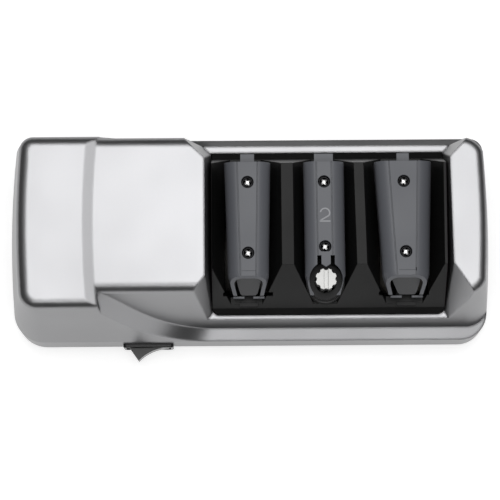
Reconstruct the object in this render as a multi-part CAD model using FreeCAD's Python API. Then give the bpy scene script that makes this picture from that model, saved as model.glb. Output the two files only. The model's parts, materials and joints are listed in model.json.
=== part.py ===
import FreeCAD
import Part

import math
import os

# An electric three-stage knife sharpener: a motor in the tall left hump drives two pairs of
# sharpening discs, and a fluted steel stands between them.
# Millimetres. +X runs along the body to the right, -Y is the front with the switch, +Z is up.
# All shapes are built about the housing's centre plane, and are shifted in Y when they
# are written, so that the origin is the centre of everything that stands on the table.

# Overall body
HALF_LENGTH = 127.0          # bowed ends, at their middle
HALF_DEPTH = 54.0            # at the skirt
FOOT_HEIGHT = 4.0
FLANGE = 2.0                 # thickness of the base plate
SKIRT_TOP = 31.0             # the walls stand upright below this height
HUMP_TOP = 105.0             # motor hump, outer part
BLOCK_TOP = HUMP_TOP - 1.2   # motor hump, inner part beyond the step band
RIGHT_TOP = HUMP_TOP - 9.0   # right hump
LIP_TOP = 50.0               # rim of the middle section
WALL = 2.5                   # moulded wall of the housing
END_BOW_RADIUS = 500.0       # plan radius of the ends

# Outline at the top of the hump, where the leaning walls would meet its top
TOP_LEFT = 8.4 - HALF_LENGTH
TOP_RIGHT = HALF_LENGTH - 6.8
TOP_HALF_DEPTH = HALF_DEPTH - 10.2
TOP_ROUND = 5.5              # rounding of the top edges
RIGHT_ROUND = 4.0            # rounding of the right hump's top edges
CORNER_FRONT_LEFT = 16.0
CORNER_FRONT_RIGHT = 14.0
CORNER_REAR = 7.0
CORNER_TOP_FRONT = 9.0

# The inner block and the rails stand back from the outer wall, above a ledge
BLOCK_FRONT = 6.4 - HALF_DEPTH        # at the skirt's top
BLOCK_FRONT_TOP = 18.4 - HALF_DEPTH   # at the block's top
BLOCK_REAR = HALF_DEPTH - 4.8
BLOCK_REAR_TOP = HALF_DEPTH - 10.6
BLOCK_CORNER = 12.0
BLOCK_RIGHT_PROUD = 0.6      # the block reaches past the outer wall here, which ends the ledge

# Step band across the top of the hump
BAND_OUTER_X = 41.4 - HALF_LENGTH
BAND_INNER_X = BAND_OUTER_X + 5.9
BAND_FOOT_X = BAND_OUTER_X + 6.8
BAND_FOOT_Z = HUMP_TOP - 9.0

# Sweeping step on the front and rear walls, as control points of a curve in X and Z:
# first where it leaves the outer wall, then where it meets the inner block.
SWEEP_OUTER = [(BAND_OUTER_X + 5.6, HUMP_TOP - 5.0), (BAND_OUTER_X + 15.6, HUMP_TOP - 33.0),
               (BAND_OUTER_X + 37.6, SKIRT_TOP), (BAND_OUTER_X + 63.6, SKIRT_TOP)]
SWEEP_INNER = [(BAND_OUTER_X + 8.6, HUMP_TOP - 4.0), (BAND_OUTER_X + 22.6, HUMP_TOP - 27.0),
               (BAND_OUTER_X + 39.6, SKIRT_TOP + 2.0), (BAND_OUTER_X + 67.6, SKIRT_TOP + 2.0)]

# Opening of the middle section
OPEN_LEFT = -20.2            # at the lip
OPEN_LEFT_TOP = OPEN_LEFT - 2.8       # at the hump's top
OPEN_RIGHT = 102.0
OPEN_RIGHT_TOP_REAR = OPEN_RIGHT + 0.5
OPEN_RIGHT_TOP_FRONT = OPEN_RIGHT + 2.4
OPEN_FRONT = 11.6 - HALF_DEPTH
OPEN_REAR = HALF_DEPTH - 10.1
OPEN_CORNER = 4.0
SEAM_X = 40.0                # the tall and the low half of the outside meet here, below the lip

# Fits between pieces
FIT = 0.3                    # separately moulded pieces
SNUG = 0.05                  # radial clearance of shafts, pins and screws in their holes
SLIDE_GAP = 0.2              # each face of the clean-out cover in its rails

# Black insert that holds the three sharpening stages
RIDGE_TOP = 84.0
RIDGE_REAR = OPEN_REAR - 10.9
RIDGE_FRONT = OPEN_FRONT + 22.4
INSERT_RIM = 51.0
INSERT_REAR_STEP = OPEN_REAR - 3.9    # where the rear slope meets the rim
APRON_FOOT = OPEN_FRONT + 3.4         # where the front apron meets the rim
APRON_FOOT_Z = 53.0
INSERT_WALL = 2.5
INSERT_CORE_TOP = 74.0
TROUGH_FLOOR = 56.0
TROUGH_LEAN = 0.364          # run over rise of the blade-guiding walls, about 20 degrees
TROUGH_SKIN = 3.4
TROUGH_REAR_Y = RIDGE_REAR - 1.0      # depths at which the trough edges below are given
TROUGH_FRONT_Y = RIDGE_FRONT - 2.0

# Stages: guide centre at the rear and the front, edges of the trough at the ridge top
STAGES = {
    1: {"centre": (-1.2, -1.0), "left": (-20.5, -20.5), "right": (16.2, 16.4)},
    2: {"centre": (38.3, 38.7), "left": (22.4, 22.6), "right": (53.8, 55.1)},
    3: {"centre": (79.3, 80.3), "left": (58.9, 60.3), "right": (100.2, 100.2)},
}

# Spring guides over the troughs: rounding of the top, half widths at the rear and the front
GUIDE_TOP = 86.0
GUIDE_FOOT = 71.0
GUIDE_SKIN = 2.0
GUIDE_REAR = RIDGE_REAR + 0.4
GUIDE_FRONT = OPEN_FRONT + 17.4
GUIDE_NOSE = OPEN_FRONT + 6.4
GUIDE_NOSE_SHARE = 0.7       # width at the nose, against the width at the front
GUIDE_GROOVE = 0.6
GUIDE_SLOPE_TOP = GUIDE_NOSE + 10.0   # the front end is cut along a slope between these depths
GUIDE_SLOPE_FOOT = GUIDE_NOSE + 1.5
REAR_SCREW_Y = RIDGE_REAR - 10.2
GUIDES = {
    1: {"round": 6.7, "wing": (12.0, 10.6), "tongue": 3.6,
        "screws": (REAR_SCREW_Y, GUIDE_NOSE + 22.0)},
    2: {"round": 6.6, "wing": (10.5, 10.4), "tongue": 4.9,
        "screws": (REAR_SCREW_Y, GUIDE_NOSE + 25.0)},
    3: {"round": 7.3, "wing": (14.8, 12.0), "tongue": 3.2,
        "screws": (REAR_SCREW_Y, GUIDE_NOSE + 22.2)},
}
TONGUE_LENGTH = 4.6
TONGUE_TOP = 82.0
GUIDE_BOSS_RADIUS = 4.6
GUIDE_BOSS_FOOT = 78.0
SCREW_RECESS_RADIUS = 3.2
SCREW_SEAT = 82.0
SCREW_HEAD_RADIUS = 2.6
SCREW_HEAD_HEIGHT = 2.0
SCREW_RADIUS = 1.5
SCREW_LENGTH = 13.0
POST_RADIUS = 3.6

# Fluted steel of the middle stage
STEEL_X = 39.0
STEEL_Y = OPEN_FRONT + 14.8
STEEL_RADIUS = 5.5
STEEL_FLUTES = 8
STEEL_FLUTE_RADIUS = 1.4
STEEL_FLUTE_DEPTH = 0.75
STEEL_TOP = 84.0
STEEL_FOOT = 36.0
STEEL_SLOT = (2.2, 1.6)      # width and depth of the screwdriver slot
HOLDER_RADIUS = 7.2
HOLDER_FLANGE_RADIUS = 9.3
HOLDER_FLANGE = 2.5
HOLDER_SEAT = 68.0
HOLDER_FOOT = 33.0
SEAT_RADIUS = 10.0
GUIDE_BAY_RADIUS = 8.6       # clearance of guide 2 round the steel
FINGER_HALF_WIDTH = 2.4      # tongue of guide 2 that clicks into the flutes
FINGER_SLOT = 2.1
FINGER_ROOT = STEEL_Y + 12.0
FINGER_SHOULDER = STEEL_Y + 7.6
FINGER_GAP = 0.5

# Drive line
AXIS_Y = 42.0 - HALF_DEPTH
AXIS_Z = 43.0
SHAFT_RADIUS = 4.0
FAN_LEFT = 9.0 - HALF_LENGTH
SHAFT_LEFT = FAN_LEFT + 0.5
DISC_CENTRES = {1: -1.2, 3: 80.0}
DISC_STAGES = tuple(DISC_CENTRES)
DISC_RADIUS = 20.0
DISC_OUTER_RADIUS = 16.5     # at the thin outer end of the cone
DISC_OUTER = 12.0            # from the stage's centre, along the shaft
DISC_INNER = 6.5
HUB_RADIUS = 7.0
HUB_INNER = 3.5
HUB_FLANGE_RADIUS = 9.2
HUB_FLANGE = 1.5
SPRING_RADIUS = 8.1
SPRING_WIRE = 0.6
SPRING_TURNS = 3
SPRING_PLAY = 0.25           # at each end, before the hub's flange
STOP_RADIUS = 6.0
STOP_GROOVE_RADIUS = 3.4
STOP_WIDTH = 1.5
STOP_GAP = 0.2
PIN_RADIUS = 1.0
PIN_HALF_LENGTH = 5.6
PIN_FROM_CENTRE = 9.0
DISC_SLOT_INNER = 3.8
DISC_SLOT_OUTER = 13.0
DISC_SLOT_GAP = 1.5

# Motor
STATOR_LEFT = FAN_LEFT + 18.0
STATOR_RIGHT = STATOR_LEFT + 38.0
STATOR_HALF_WIDTH = 23.0
STATOR_FOOT = 15.0
STATOR_BORE = 16.5
STATOR_YOKE = 8.0            # over the window, inside the winding
STATOR_ROUND = 4.0
AIR_GAP = 0.5
BRACKET = 4.0
BRACKET_GAP = 5.0
BRACKET_FOOT = 19.0
BRACKET_TOP = 62.0
BRACKET_BOSS_RADIUS = 10.0
BRACKET_BOSS = 6.0
WINDOW_HALF_WIDTH = 14.0
WINDOW_FOOT = BRACKET_TOP + 1.0
COIL_SIDE = 7.0              # winding depth at the ends of the stack
COIL_DEPTH = (BLOCK_TOP - BRACKET_TOP - STATOR_YOKE - 13.8) / 2
COIL_ROUND = 5.0
WINDOW_TOP = WINDOW_FOOT + COIL_DEPTH + 3.0
STATOR_TOP = WINDOW_TOP + STATOR_YOKE
BUSH_RADIUS = 7.0
LEG_RADIUS = 4.0
BOLT_SPREAD = 19.5
BOLT_LOW = BRACKET_FOOT + LEG_RADIUS
BOLT_HIGH = BRACKET_TOP - LEG_RADIUS
BOLT_RADIUS = 2.0
BOLT_HEAD_RADIUS = 3.6
BOLT_HEAD = 2.6
BOLT_TAIL = 1.0              # past the left bracket
END_RING = 3.0
FAN_RADIUS = 24.0
FAN_PLATE = 1.4
FAN_BLADES = 9
FAN_BLADE_HEIGHT = 5.0
FAN_BLADE = 1.4
FAN_HUB = 3.0                # wall of the hub
PAD_HEIGHT = 4.0
PAD_LENGTH = 12.0
PAD_WIDTH = 8.0
PAD_SPREAD = 17.0

# Outboard bearing
BEARING_RIGHT = OPEN_RIGHT - 3.0
BEARING_LEFT = BEARING_RIGHT - 4.4
SHAFT_RIGHT = BEARING_RIGHT - 0.6
BEARING_HALF_WIDTH = 9.0
BEARING_TOP = 53.0
OUTBOARD_BUSH_RADIUS = 6.4

# Base, feet and screws
BASE_INSET = 0.6
RIM_HEIGHT = 4.0
RIM_WALL = 2.0
RIM_GAP = 2.0                # beside the switch
INLET_GAP = 1.0              # beside the inlet
FOOT_X = HALF_LENGTH - 19.0
FOOT_Y = HALF_DEPTH - 14.0
FOOT_RADIUS = 8.0
FOOT_BEVEL = 1.0
FOOT_PLUG_RADIUS = 3.0
FOOT_PLUG = 3.5
CASE_SCREW_X = (OPEN_RIGHT + HALF_LENGTH - 1.0) / 2
CASE_SCREW_Y = HALF_DEPTH - 28.0
CASE_BOSS_RADIUS = 4.5
CASE_BOSS_TOP = 17.0
CASE_WEB = 2.0               # thickness of a boss's gusset
CASE_PAD = 2.5
CASE_HEAD_RADIUS = 3.2
CASE_SEAT = 6.0
VENT_COUNT = 7
VENT_PITCH = 6.0
VENT_WIDTH = 2.5
VENT_HALF_LENGTH = 15.0
VENT_X = (STATOR_LEFT + STATOR_RIGHT) / 2

# Clean-out cover under the discs
CLEAN_X = (8.0, 68.0)
CLEAN_Y = (AXIS_Y - 18.0, AXIS_Y + 18.0)
COVER_LAP = 3.0
COVER_THICK = 1.4
COVER_RIBS = 4
COVER_RIB_HALF = (10.0, 0.6) # half length and half width of a grip rib
COVER_RIB_EDGE = 3.0
COVER_RIB_PITCH = 2.5
RAIL_LIP = 0.7
RAIL_WEB = 1.6
RAIL_REAR = HALF_DEPTH - 4.0
MAGNET = (16.0, 6.0, 3.0)
MAGNET_GAP = 2.0             # behind the cover's window
MAGNET_INSET = 12.0          # from the window's ends

# Rocker switch in the front skirt
SWITCH_X = 72.3 - HALF_LENGTH
SWITCH_Z = 14.8
BEZEL_HALF = (13.4, 6.7)
BEZEL_PROUD = 2.1
BEZEL_ROUND = 1.5
BEZEL_EDGE = 0.7
SWITCH_HALF = (12.8, 5.7)
SWITCH_CAVITY_HALF = (11.9, 4.9)
SWITCH_DEPTH = 14.0
SWITCH_BACK = 4.0
PIVOT_IN = 1.5               # pivot behind the skirt's face
ROCKER_HALF_HEIGHT = 4.6
ROCKER_TILT = 23.1
ROCKER_TIP = (8.9, -7.4)     # from the pivot, with the rocker level
ROCKER_DIP = -5.6
ROCKER_HEEL = (10.6, 0.8)
ROCKER_KEEL = (4.0, 4.0)
PIVOT_RADIUS = 1.0
TERMINAL = (4.8, 0.8, 7.0)
TERMINAL_SPREAD = 4.5

# Cord inlet in the rear skirt
INLET_X = 87.0 - HALF_LENGTH
INLET_Z = 17.0
INLET_BORE = 3.6
INLET_NECK = 5.4
INLET_FLANGE_RADIUS = 8.0
INLET_FLANGE = 2.4


def vec(x, y, z):
    return FreeCAD.Vector(x, y, z)


def polygon_face(points):
    return Part.Face(Part.makePolygon(points + [points[0]]))


def box(x0, x1, y0, y1, z0, z1):
    return Part.makeBox(x1 - x0, y1 - y0, z1 - z0, vec(x0, y0, z0))


def corner_arc(side_x, mid_x, edge_y, radius):
    """Rounded corner between a straight edge at edge_y and a bowed end that bulges to mid_x."""
    centre_x = mid_x - side_x * END_BOW_RADIUS
    side_y = math.copysign(1.0, edge_y)
    round_y = edge_y - side_y * radius
    round_x = centre_x + side_x * math.sqrt((END_BOW_RADIUS - radius) ** 2 - round_y ** 2)
    reach = END_BOW_RADIUS / (END_BOW_RADIUS - radius)
    on_end = (centre_x + (round_x - centre_x) * reach, round_y * reach)
    on_edge = (round_x, edge_y)
    out_x = (on_end[0] - round_x) + (on_edge[0] - round_x)
    out_y = (on_end[1] - round_y) + (on_edge[1] - round_y)
    size = math.hypot(out_x, out_y)
    middle = (round_x + radius * out_x / size, round_y + radius * out_y / size)
    return on_end, middle, on_edge


def plan_wire(z, left, right, front, rear, corners):
    """Closed outline at height z. Corners: front left, front right, rear right, rear left."""
    fl, fr, rr, rl = corners
    end_fl, mid_fl, edge_fl = corner_arc(-1, left, front, fl)
    end_fr, mid_fr, edge_fr = corner_arc(1, right, front, fr)
    end_rr, mid_rr, edge_rr = corner_arc(1, right, rear, rr)
    end_rl, mid_rl, edge_rl = corner_arc(-1, left, rear, rl)

    def at(p):
        return vec(p[0], p[1], z)

    def arc(a, b, c):
        return Part.Arc(at(a), at(b), at(c)).toShape()

    return Part.Wire([
        arc(end_fl, mid_fl, edge_fl),
        Part.makeLine(at(edge_fl), at(edge_fr)),
        arc(edge_fr, mid_fr, end_fr),
        arc(end_fr, (right, 0.0), end_rr),
        arc(end_rr, mid_rr, edge_rr),
        Part.makeLine(at(edge_rr), at(edge_rl)),
        arc(edge_rl, mid_rl, end_rl),
        arc(end_rl, (left, 0.0), end_fl),
    ])


def round_top(solid, z, radius):
    """Fillet the edges that lie in the plane at height z."""
    edges = [e for e in solid.Edges
             if abs(e.BoundBox.ZMin - z) < 0.01 and abs(e.BoundBox.ZMax - z) < 0.01]
    return solid.makeFillet(radius, edges)


def between(z, low, high, top):
    """Value that runs from low at the skirt's top to high at the given top height."""
    return low + (high - low) * (z - SKIRT_TOP) / (top - SKIRT_TOP)


def outer_form(inset, bottom, top):
    """The whole outer body without its steps, drawn in by inset."""
    low = plan_wire(
        bottom, inset - HALF_LENGTH, HALF_LENGTH - inset, inset - HALF_DEPTH, HALF_DEPTH - inset,
        [CORNER_FRONT_LEFT - inset, CORNER_FRONT_RIGHT - inset, CORNER_REAR - inset,
         CORNER_REAR - inset])
    skirt = plan_wire(
        SKIRT_TOP, inset - HALF_LENGTH, HALF_LENGTH - inset, inset - HALF_DEPTH,
        HALF_DEPTH - inset,
        [CORNER_FRONT_LEFT - inset, CORNER_FRONT_RIGHT - inset, CORNER_REAR - inset,
         CORNER_REAR - inset])
    high = plan_wire(
        top, between(top, -HALF_LENGTH, TOP_LEFT, HUMP_TOP) + inset,
        between(top, HALF_LENGTH, TOP_RIGHT, HUMP_TOP) - inset,
        between(top, -HALF_DEPTH, -TOP_HALF_DEPTH, HUMP_TOP) + inset,
        between(top, HALF_DEPTH, TOP_HALF_DEPTH, HUMP_TOP) - inset,
        [CORNER_TOP_FRONT - inset, CORNER_TOP_FRONT - inset, CORNER_REAR - inset,
         CORNER_REAR - inset])
    return Part.makeLoft([low, skirt, high], True, True)


def block_form(inset, bottom, top):
    """The inner block: its front and rear planes stand back from the outer wall."""
    def section(z):
        return plan_wire(
            z, BAND_OUTER_X - 30.0 + inset,
            between(z, HALF_LENGTH, TOP_RIGHT, HUMP_TOP) + BLOCK_RIGHT_PROUD - inset,
            between(z, BLOCK_FRONT, BLOCK_FRONT_TOP, BLOCK_TOP) + inset,
            between(z, BLOCK_REAR, BLOCK_REAR_TOP, BLOCK_TOP) - inset,
            [BLOCK_CORNER - inset] * 4)
    return Part.makeLoft([section(bottom), section(top)], True, True)


def sweep_wire(points, y, far_x):
    """Closed outline in the plane at y, below the sweeping step."""
    curve = Part.BezierCurve()
    curve.setPoles([vec(x, y, z) for x, z in points])
    first, last = points[0], points[-1]
    low = -20.0
    left = -HALF_LENGTH - 20.0
    return Part.Wire([
        Part.makeLine(vec(left, y, low), vec(left, y, first[1])),
        Part.makeLine(vec(left, y, first[1]), vec(first[0], y, first[1])),
        curve.toShape(),
        Part.makeLine(vec(last[0], y, last[1]), vec(far_x, y, last[1])),
        Part.makeLine(vec(far_x, y, last[1]), vec(far_x, y, low)),
        Part.makeLine(vec(far_x, y, low), vec(left, y, low)),
    ])


def sweep_form(side):
    """Solid below the sweeping step, on the front (side -1) or the rear (side 1)."""
    near = 70.0
    deep = 20.0

    def at_depth(depth):
        out = []
        for (x_out, z_out), (x_in, z_in) in zip(SWEEP_OUTER, SWEEP_INNER):
            y_out = between(z_out, HALF_DEPTH, TOP_HALF_DEPTH, HUMP_TOP)
            y_in = between(z_in, -BLOCK_FRONT, -BLOCK_FRONT_TOP, BLOCK_TOP)
            t = (y_out - depth) / (y_out - y_in)
            out.append((x_out + (x_in - x_out) * t, z_out + (z_in - z_out) * t))
        return out

    wires = [sweep_wire(at_depth(d), side * d, HALF_LENGTH + 20.0) for d in (near, deep)]
    return Part.makeLoft(wires, True, True)


def band_form():
    """Solid to the left of the step band that crosses the hump's top."""
    drop = HUMP_TOP - BLOCK_TOP
    run = BAND_INNER_X - BAND_OUTER_X
    rise = 6.0
    left = -HALF_LENGTH - 20.0
    profile = [
        vec(left, 0, -20), vec(left, 0, HUMP_TOP + rise),
        vec(BAND_OUTER_X - run * rise / drop, 0, HUMP_TOP + rise),
        vec(BAND_INNER_X, 0, BLOCK_TOP), vec(BAND_FOOT_X, 0, BAND_FOOT_Z),
        vec(BAND_FOOT_X, 0, -20)]
    centre_x = END_BOW_RADIUS - HALF_LENGTH
    half_turn = 9.0
    face = polygon_face(profile)
    face.rotate(vec(centre_x, 0, 0), vec(0, 0, 1), -half_turn)
    return face.revolve(vec(centre_x, 0, 0), vec(0, 0, 1), 2 * half_turn)


def plane_cutter(a, b, c, grow):
    """Large block from the plane through three points, moved back by grow, to its normal's side."""
    size = 2 * HALF_LENGTH
    normal = (b - a).cross(c - a)
    normal.normalize()
    along = (b - a)
    along.normalize()
    across = normal.cross(along)
    centre = (a + b + c) * (1.0 / 3.0) - normal * grow
    corners = [centre + along * (size * i) + across * (size * j)
               for i, j in ((-1, -1), (1, -1), (1, 1), (-1, 1))]
    return polygon_face(corners).extrude(normal * size)


def prism_x(points, x0, x1):
    """Extrude an outline given in Y and Z along X."""
    face = polygon_face([vec(x0, y, z) for y, z in points])
    return face.extrude(vec(x1 - x0, 0, 0))


def prism_z(points, z0, z1):
    """Extrude an outline given in X and Y along Z."""
    face = polygon_face([vec(x, y, z0) for x, y in points])
    return face.extrude(vec(0, 0, z1 - z0))


def rod(radius, x, y, z0, z1):
    return Part.makeCylinder(radius, z1 - z0, vec(x, y, z0))


def rod_x(radius, x0, x1, y=AXIS_Y, z=AXIS_Z):
    return Part.makeCylinder(radius, x1 - x0, vec(x0, y, z), vec(1, 0, 0))


def rod_y(radius, x, z, y0, y1):
    return Part.makeCylinder(radius, y1 - y0, vec(x, y0, z), vec(0, 1, 0))


def ring_x(outer, inner, x0, x1):
    return rod_x(outer, x0, x1).cut(rod_x(inner, x0 - 1, x1 + 1))


def turned(profile):
    """Revolve an outline of (x, radius) points about the drive axis."""
    face = polygon_face([vec(x, AXIS_Y, AXIS_Z + r) for x, r in profile])
    return face.revolve(vec(0, AXIS_Y, AXIS_Z), vec(1, 0, 0), 360)


def slanted(pair, y):
    """X at depth y of an edge given at the trough's rear and front."""
    t = (y - TROUGH_REAR_Y) / (TROUGH_FRONT_Y - TROUGH_REAR_Y)
    return pair[0] + (pair[1] - pair[0]) * t


BASE_TOP = FOOT_HEIGHT + FLANGE


def base_outline(inset, z):
    return plan_wire(
        z, inset - HALF_LENGTH, HALF_LENGTH - inset, inset - HALF_DEPTH, HALF_DEPTH - inset,
        [CORNER_FRONT_LEFT - inset, CORNER_FRONT_RIGHT - inset, CORNER_REAR - inset,
         CORNER_REAR - inset])


def base_slab(inset, z0, z1):
    return Part.Face(base_outline(inset, z0)).extrude(vec(0, 0, z1 - z0))


def middle_cut(grow):
    """Everything above the lip between the two humps, with their slanted shoulders."""
    high = HUMP_TOP + 20.0
    floor = LIP_TOP - grow
    slope = (OPEN_LEFT_TOP - OPEN_LEFT) / (BLOCK_TOP - LIP_TOP)

    def side(y, right_top):
        lean = (right_top - OPEN_RIGHT) / (RIGHT_TOP - LIP_TOP)
        left_low = OPEN_LEFT - slope * grow - grow
        right_low = OPEN_RIGHT - lean * grow + grow
        return Part.makePolygon([
            vec(left_low, y, floor), vec(right_low, y, floor),
            vec(right_low + lean * (high - floor), y, high),
            vec(left_low + slope * (high - floor), y, high), vec(left_low, y, floor)])

    span = HALF_DEPTH + 10.0
    per_mm = (OPEN_RIGHT_TOP_FRONT - OPEN_RIGHT_TOP_REAR) / (OPEN_REAR - OPEN_FRONT)
    rear_right = OPEN_RIGHT_TOP_REAR - per_mm * (span - OPEN_REAR)
    front_right = OPEN_RIGHT_TOP_FRONT + per_mm * (span + OPEN_FRONT)
    middle = Part.makeLoft([side(span, rear_right), side(-span, front_right)], True, True)
    over_left = box(BAND_INNER_X + 19.7, SEAM_X, -span, span, floor, high)
    over_right = box(SEAM_X, HALF_LENGTH + 13.0, -span, span, floor, high)
    # Shoulders: a point on each top edge, and one on the wall below
    left_x, right_x = OPEN_LEFT_TOP, OPEN_RIGHT_TOP_FRONT
    front, rear = BLOCK_FRONT_TOP, BLOCK_REAR_TOP
    shoulders = [
        (vec(left_x - 6.1, front + 0.3, BLOCK_TOP), vec(left_x - 0.1, front + 7.7, BLOCK_TOP),
         vec(OPEN_LEFT, OPEN_FRONT + 1.1, LIP_TOP)),
        (vec(left_x - 0.2, rear - 10.3, BLOCK_TOP), vec(left_x - 7.3, rear - 3.7, BLOCK_TOP),
         vec(OPEN_LEFT - 0.2, OPEN_REAR - 0.7, LIP_TOP)),
        (vec(right_x + 0.3, front + 13.5, RIGHT_TOP), vec(right_x + 6.8, front + 4.1, RIGHT_TOP),
         vec(OPEN_RIGHT - 0.5, OPEN_FRONT + 1.6, LIP_TOP)),
        (vec(right_x + 3.4, rear - 4.0, RIGHT_TOP), vec(right_x - 1.5, rear - 9.1, RIGHT_TOP),
         vec(OPEN_RIGHT - 0.2, OPEN_REAR - 0.7, LIP_TOP)),
    ]
    cutters = [middle]
    for a, b, c in shoulders:
        wedge = plane_cutter(a, b, c, grow)
        if not wedge.isInside(vec(SEAM_X, a.y, HUMP_TOP), 0.01, True):
            wedge = plane_cutter(b, a, c, grow)
        cutters.append(wedge.common(over_left if a.x < SEAM_X else over_right))
    return cutters[0].multiFuse(cutters[1:])


def opening_cut():
    """The shaft that the insert hangs in, with rounded front corners."""
    wire = Part.makePolygon([
        vec(OPEN_LEFT, OPEN_REAR, -5), vec(OPEN_LEFT, OPEN_FRONT, -5),
        vec(OPEN_RIGHT, OPEN_FRONT, -5), vec(OPEN_RIGHT, OPEN_REAR, -5),
        vec(OPEN_LEFT, OPEN_REAR, -5)])
    solid = Part.Face(wire).extrude(vec(0, 0, LIP_TOP + 10))
    front = [e for e in solid.Edges
             if e.BoundBox.ZLength > 10 and abs(e.BoundBox.YMin - OPEN_FRONT) < 0.1]
    return solid.makeFillet(OPEN_CORNER, front)


def outer_skin():
    """The housing's outside as one solid: the tall left half joined to the low right one."""
    sweeps = [sweep_form(-1), sweep_form(1)]
    tall = round_top(outer_form(0.0, BASE_TOP, HUMP_TOP), HUMP_TOP, TOP_ROUND)
    tall_block = round_top(block_form(0.0, BASE_TOP, BLOCK_TOP), BLOCK_TOP, TOP_ROUND)
    left = tall.common(tall_block.multiFuse(sweeps + [band_form()]))
    low = round_top(outer_form(0.0, BASE_TOP, RIGHT_TOP), RIGHT_TOP, RIGHT_ROUND)
    low_block = round_top(block_form(0.0, BASE_TOP, RIGHT_TOP), RIGHT_TOP, RIGHT_ROUND)
    right = low.common(low_block.multiFuse(sweeps))
    far = HALF_LENGTH + 20.0
    left = left.common(box(-far, SEAM_X, -far, far, -far, far))
    right = right.common(box(SEAM_X, far, -far, far, -far, far))
    return left.fuse(right).removeSplitter()


def upper_housing():
    solid = outer_skin().cut(middle_cut(0.0))
    # Hollow: the full outline where the wall stands proud, the block elsewhere
    far = HALF_LENGTH + 20.0
    left_part = box(-far, BAND_OUTER_X - WALL, -far, far, -far, far)
    skirt_part = box(-far, far, -far, far, -far, SKIRT_TOP - WALL)
    low_part = box(SEAM_X, far, -far, far, RIGHT_TOP - WALL, far)
    under_left = outer_form(WALL, -1.0, HUMP_TOP - WALL).common(left_part.fuse(skirt_part))
    under_block = block_form(WALL, -1.0, BLOCK_TOP - WALL).common(
        outer_form(WALL, -1.5, HUMP_TOP - WALL)).cut(middle_cut(WALL).fuse(low_part))
    solid = solid.cut(under_left.multiFuse([under_block, opening_cut()]))
    # Cut-outs for the switch and the cord inlet
    sx, sz = SWITCH_HALF[0] + SNUG, SWITCH_HALF[1] + SNUG
    solid = solid.cut(box(SWITCH_X - sx, SWITCH_X + sx, -HALF_DEPTH - 5, -HALF_DEPTH + 10,
                          SWITCH_Z - sz, SWITCH_Z + sz))
    solid = solid.cut(rod_y(INLET_NECK + SNUG, INLET_X, INLET_Z, HALF_DEPTH - 10, HALF_DEPTH + 5))
    # Screw bosses with a gusset to the end wall
    for sx in (-1, 1):
        for sy in (-1, 1):
            x, y = sx * CASE_SCREW_X, sy * CASE_SCREW_Y
            foot = BASE_TOP + CASE_PAD
            boss = rod(CASE_BOSS_RADIUS, x, y, foot, CASE_BOSS_TOP)
            wall_x = sx * (HALF_LENGTH - WALL)
            web = box(min(x, wall_x), max(x, wall_x), y - CASE_WEB / 2, y + CASE_WEB / 2,
                      foot, CASE_BOSS_TOP)
            boss = boss.fuse(web).cut(rod(SCREW_RADIUS + SNUG, x, y, foot - 1, CASE_BOSS_TOP - 1))
            solid = solid.fuse(boss)
    return solid


def insert_profile(drop):
    """Side outline of the insert, drawn in by drop."""
    rear = OPEN_REAR - FIT - drop
    front = OPEN_FRONT + FIT + drop
    top = RIDGE_TOP if drop == 0 else INSERT_CORE_TOP
    rise = (RIDGE_TOP - APRON_FOOT_Z) / (RIDGE_FRONT - APRON_FOOT)
    ridge_front = RIDGE_FRONT + drop - (RIDGE_TOP - top) / rise
    fall = (RIDGE_TOP - APRON_FOOT_Z) / (INSERT_REAR_STEP - RIDGE_REAR)
    ridge_rear = RIDGE_REAR - drop + (RIDGE_TOP - top) / fall
    bottom = BASE_TOP - (1.0 if drop else 0.0)
    return [
        (rear, bottom), (rear, INSERT_RIM - drop), (INSERT_REAR_STEP - drop, APRON_FOOT_Z - drop),
        (ridge_rear, top), (ridge_front, top), (APRON_FOOT + drop, APRON_FOOT_Z - drop),
        (front, INSERT_RIM - drop), (front, bottom)]


def trough(stage, skin):
    """V-shaped trough of a stage, grown by skin."""
    high = RIDGE_TOP + 20.0
    run = TROUGH_LEAN * (RIDGE_TOP - TROUGH_FLOOR)

    def section(y):
        left = slanted(stage["left"], y) - skin
        right = slanted(stage["right"], y) + skin
        return Part.makePolygon([
            vec(left, y, high), vec(left, y, RIDGE_TOP), vec(left + run, y, TROUGH_FLOOR - skin),
            vec(right - run, y, TROUGH_FLOOR - skin), vec(right, y, RIDGE_TOP),
            vec(right, y, high), vec(left, y, high)])

    return Part.makeLoft([section(60.0), section(-60.0)], True, True)


def guide_line_x(number, y):
    return slanted(STAGES[number]["centre"], y)


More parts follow.
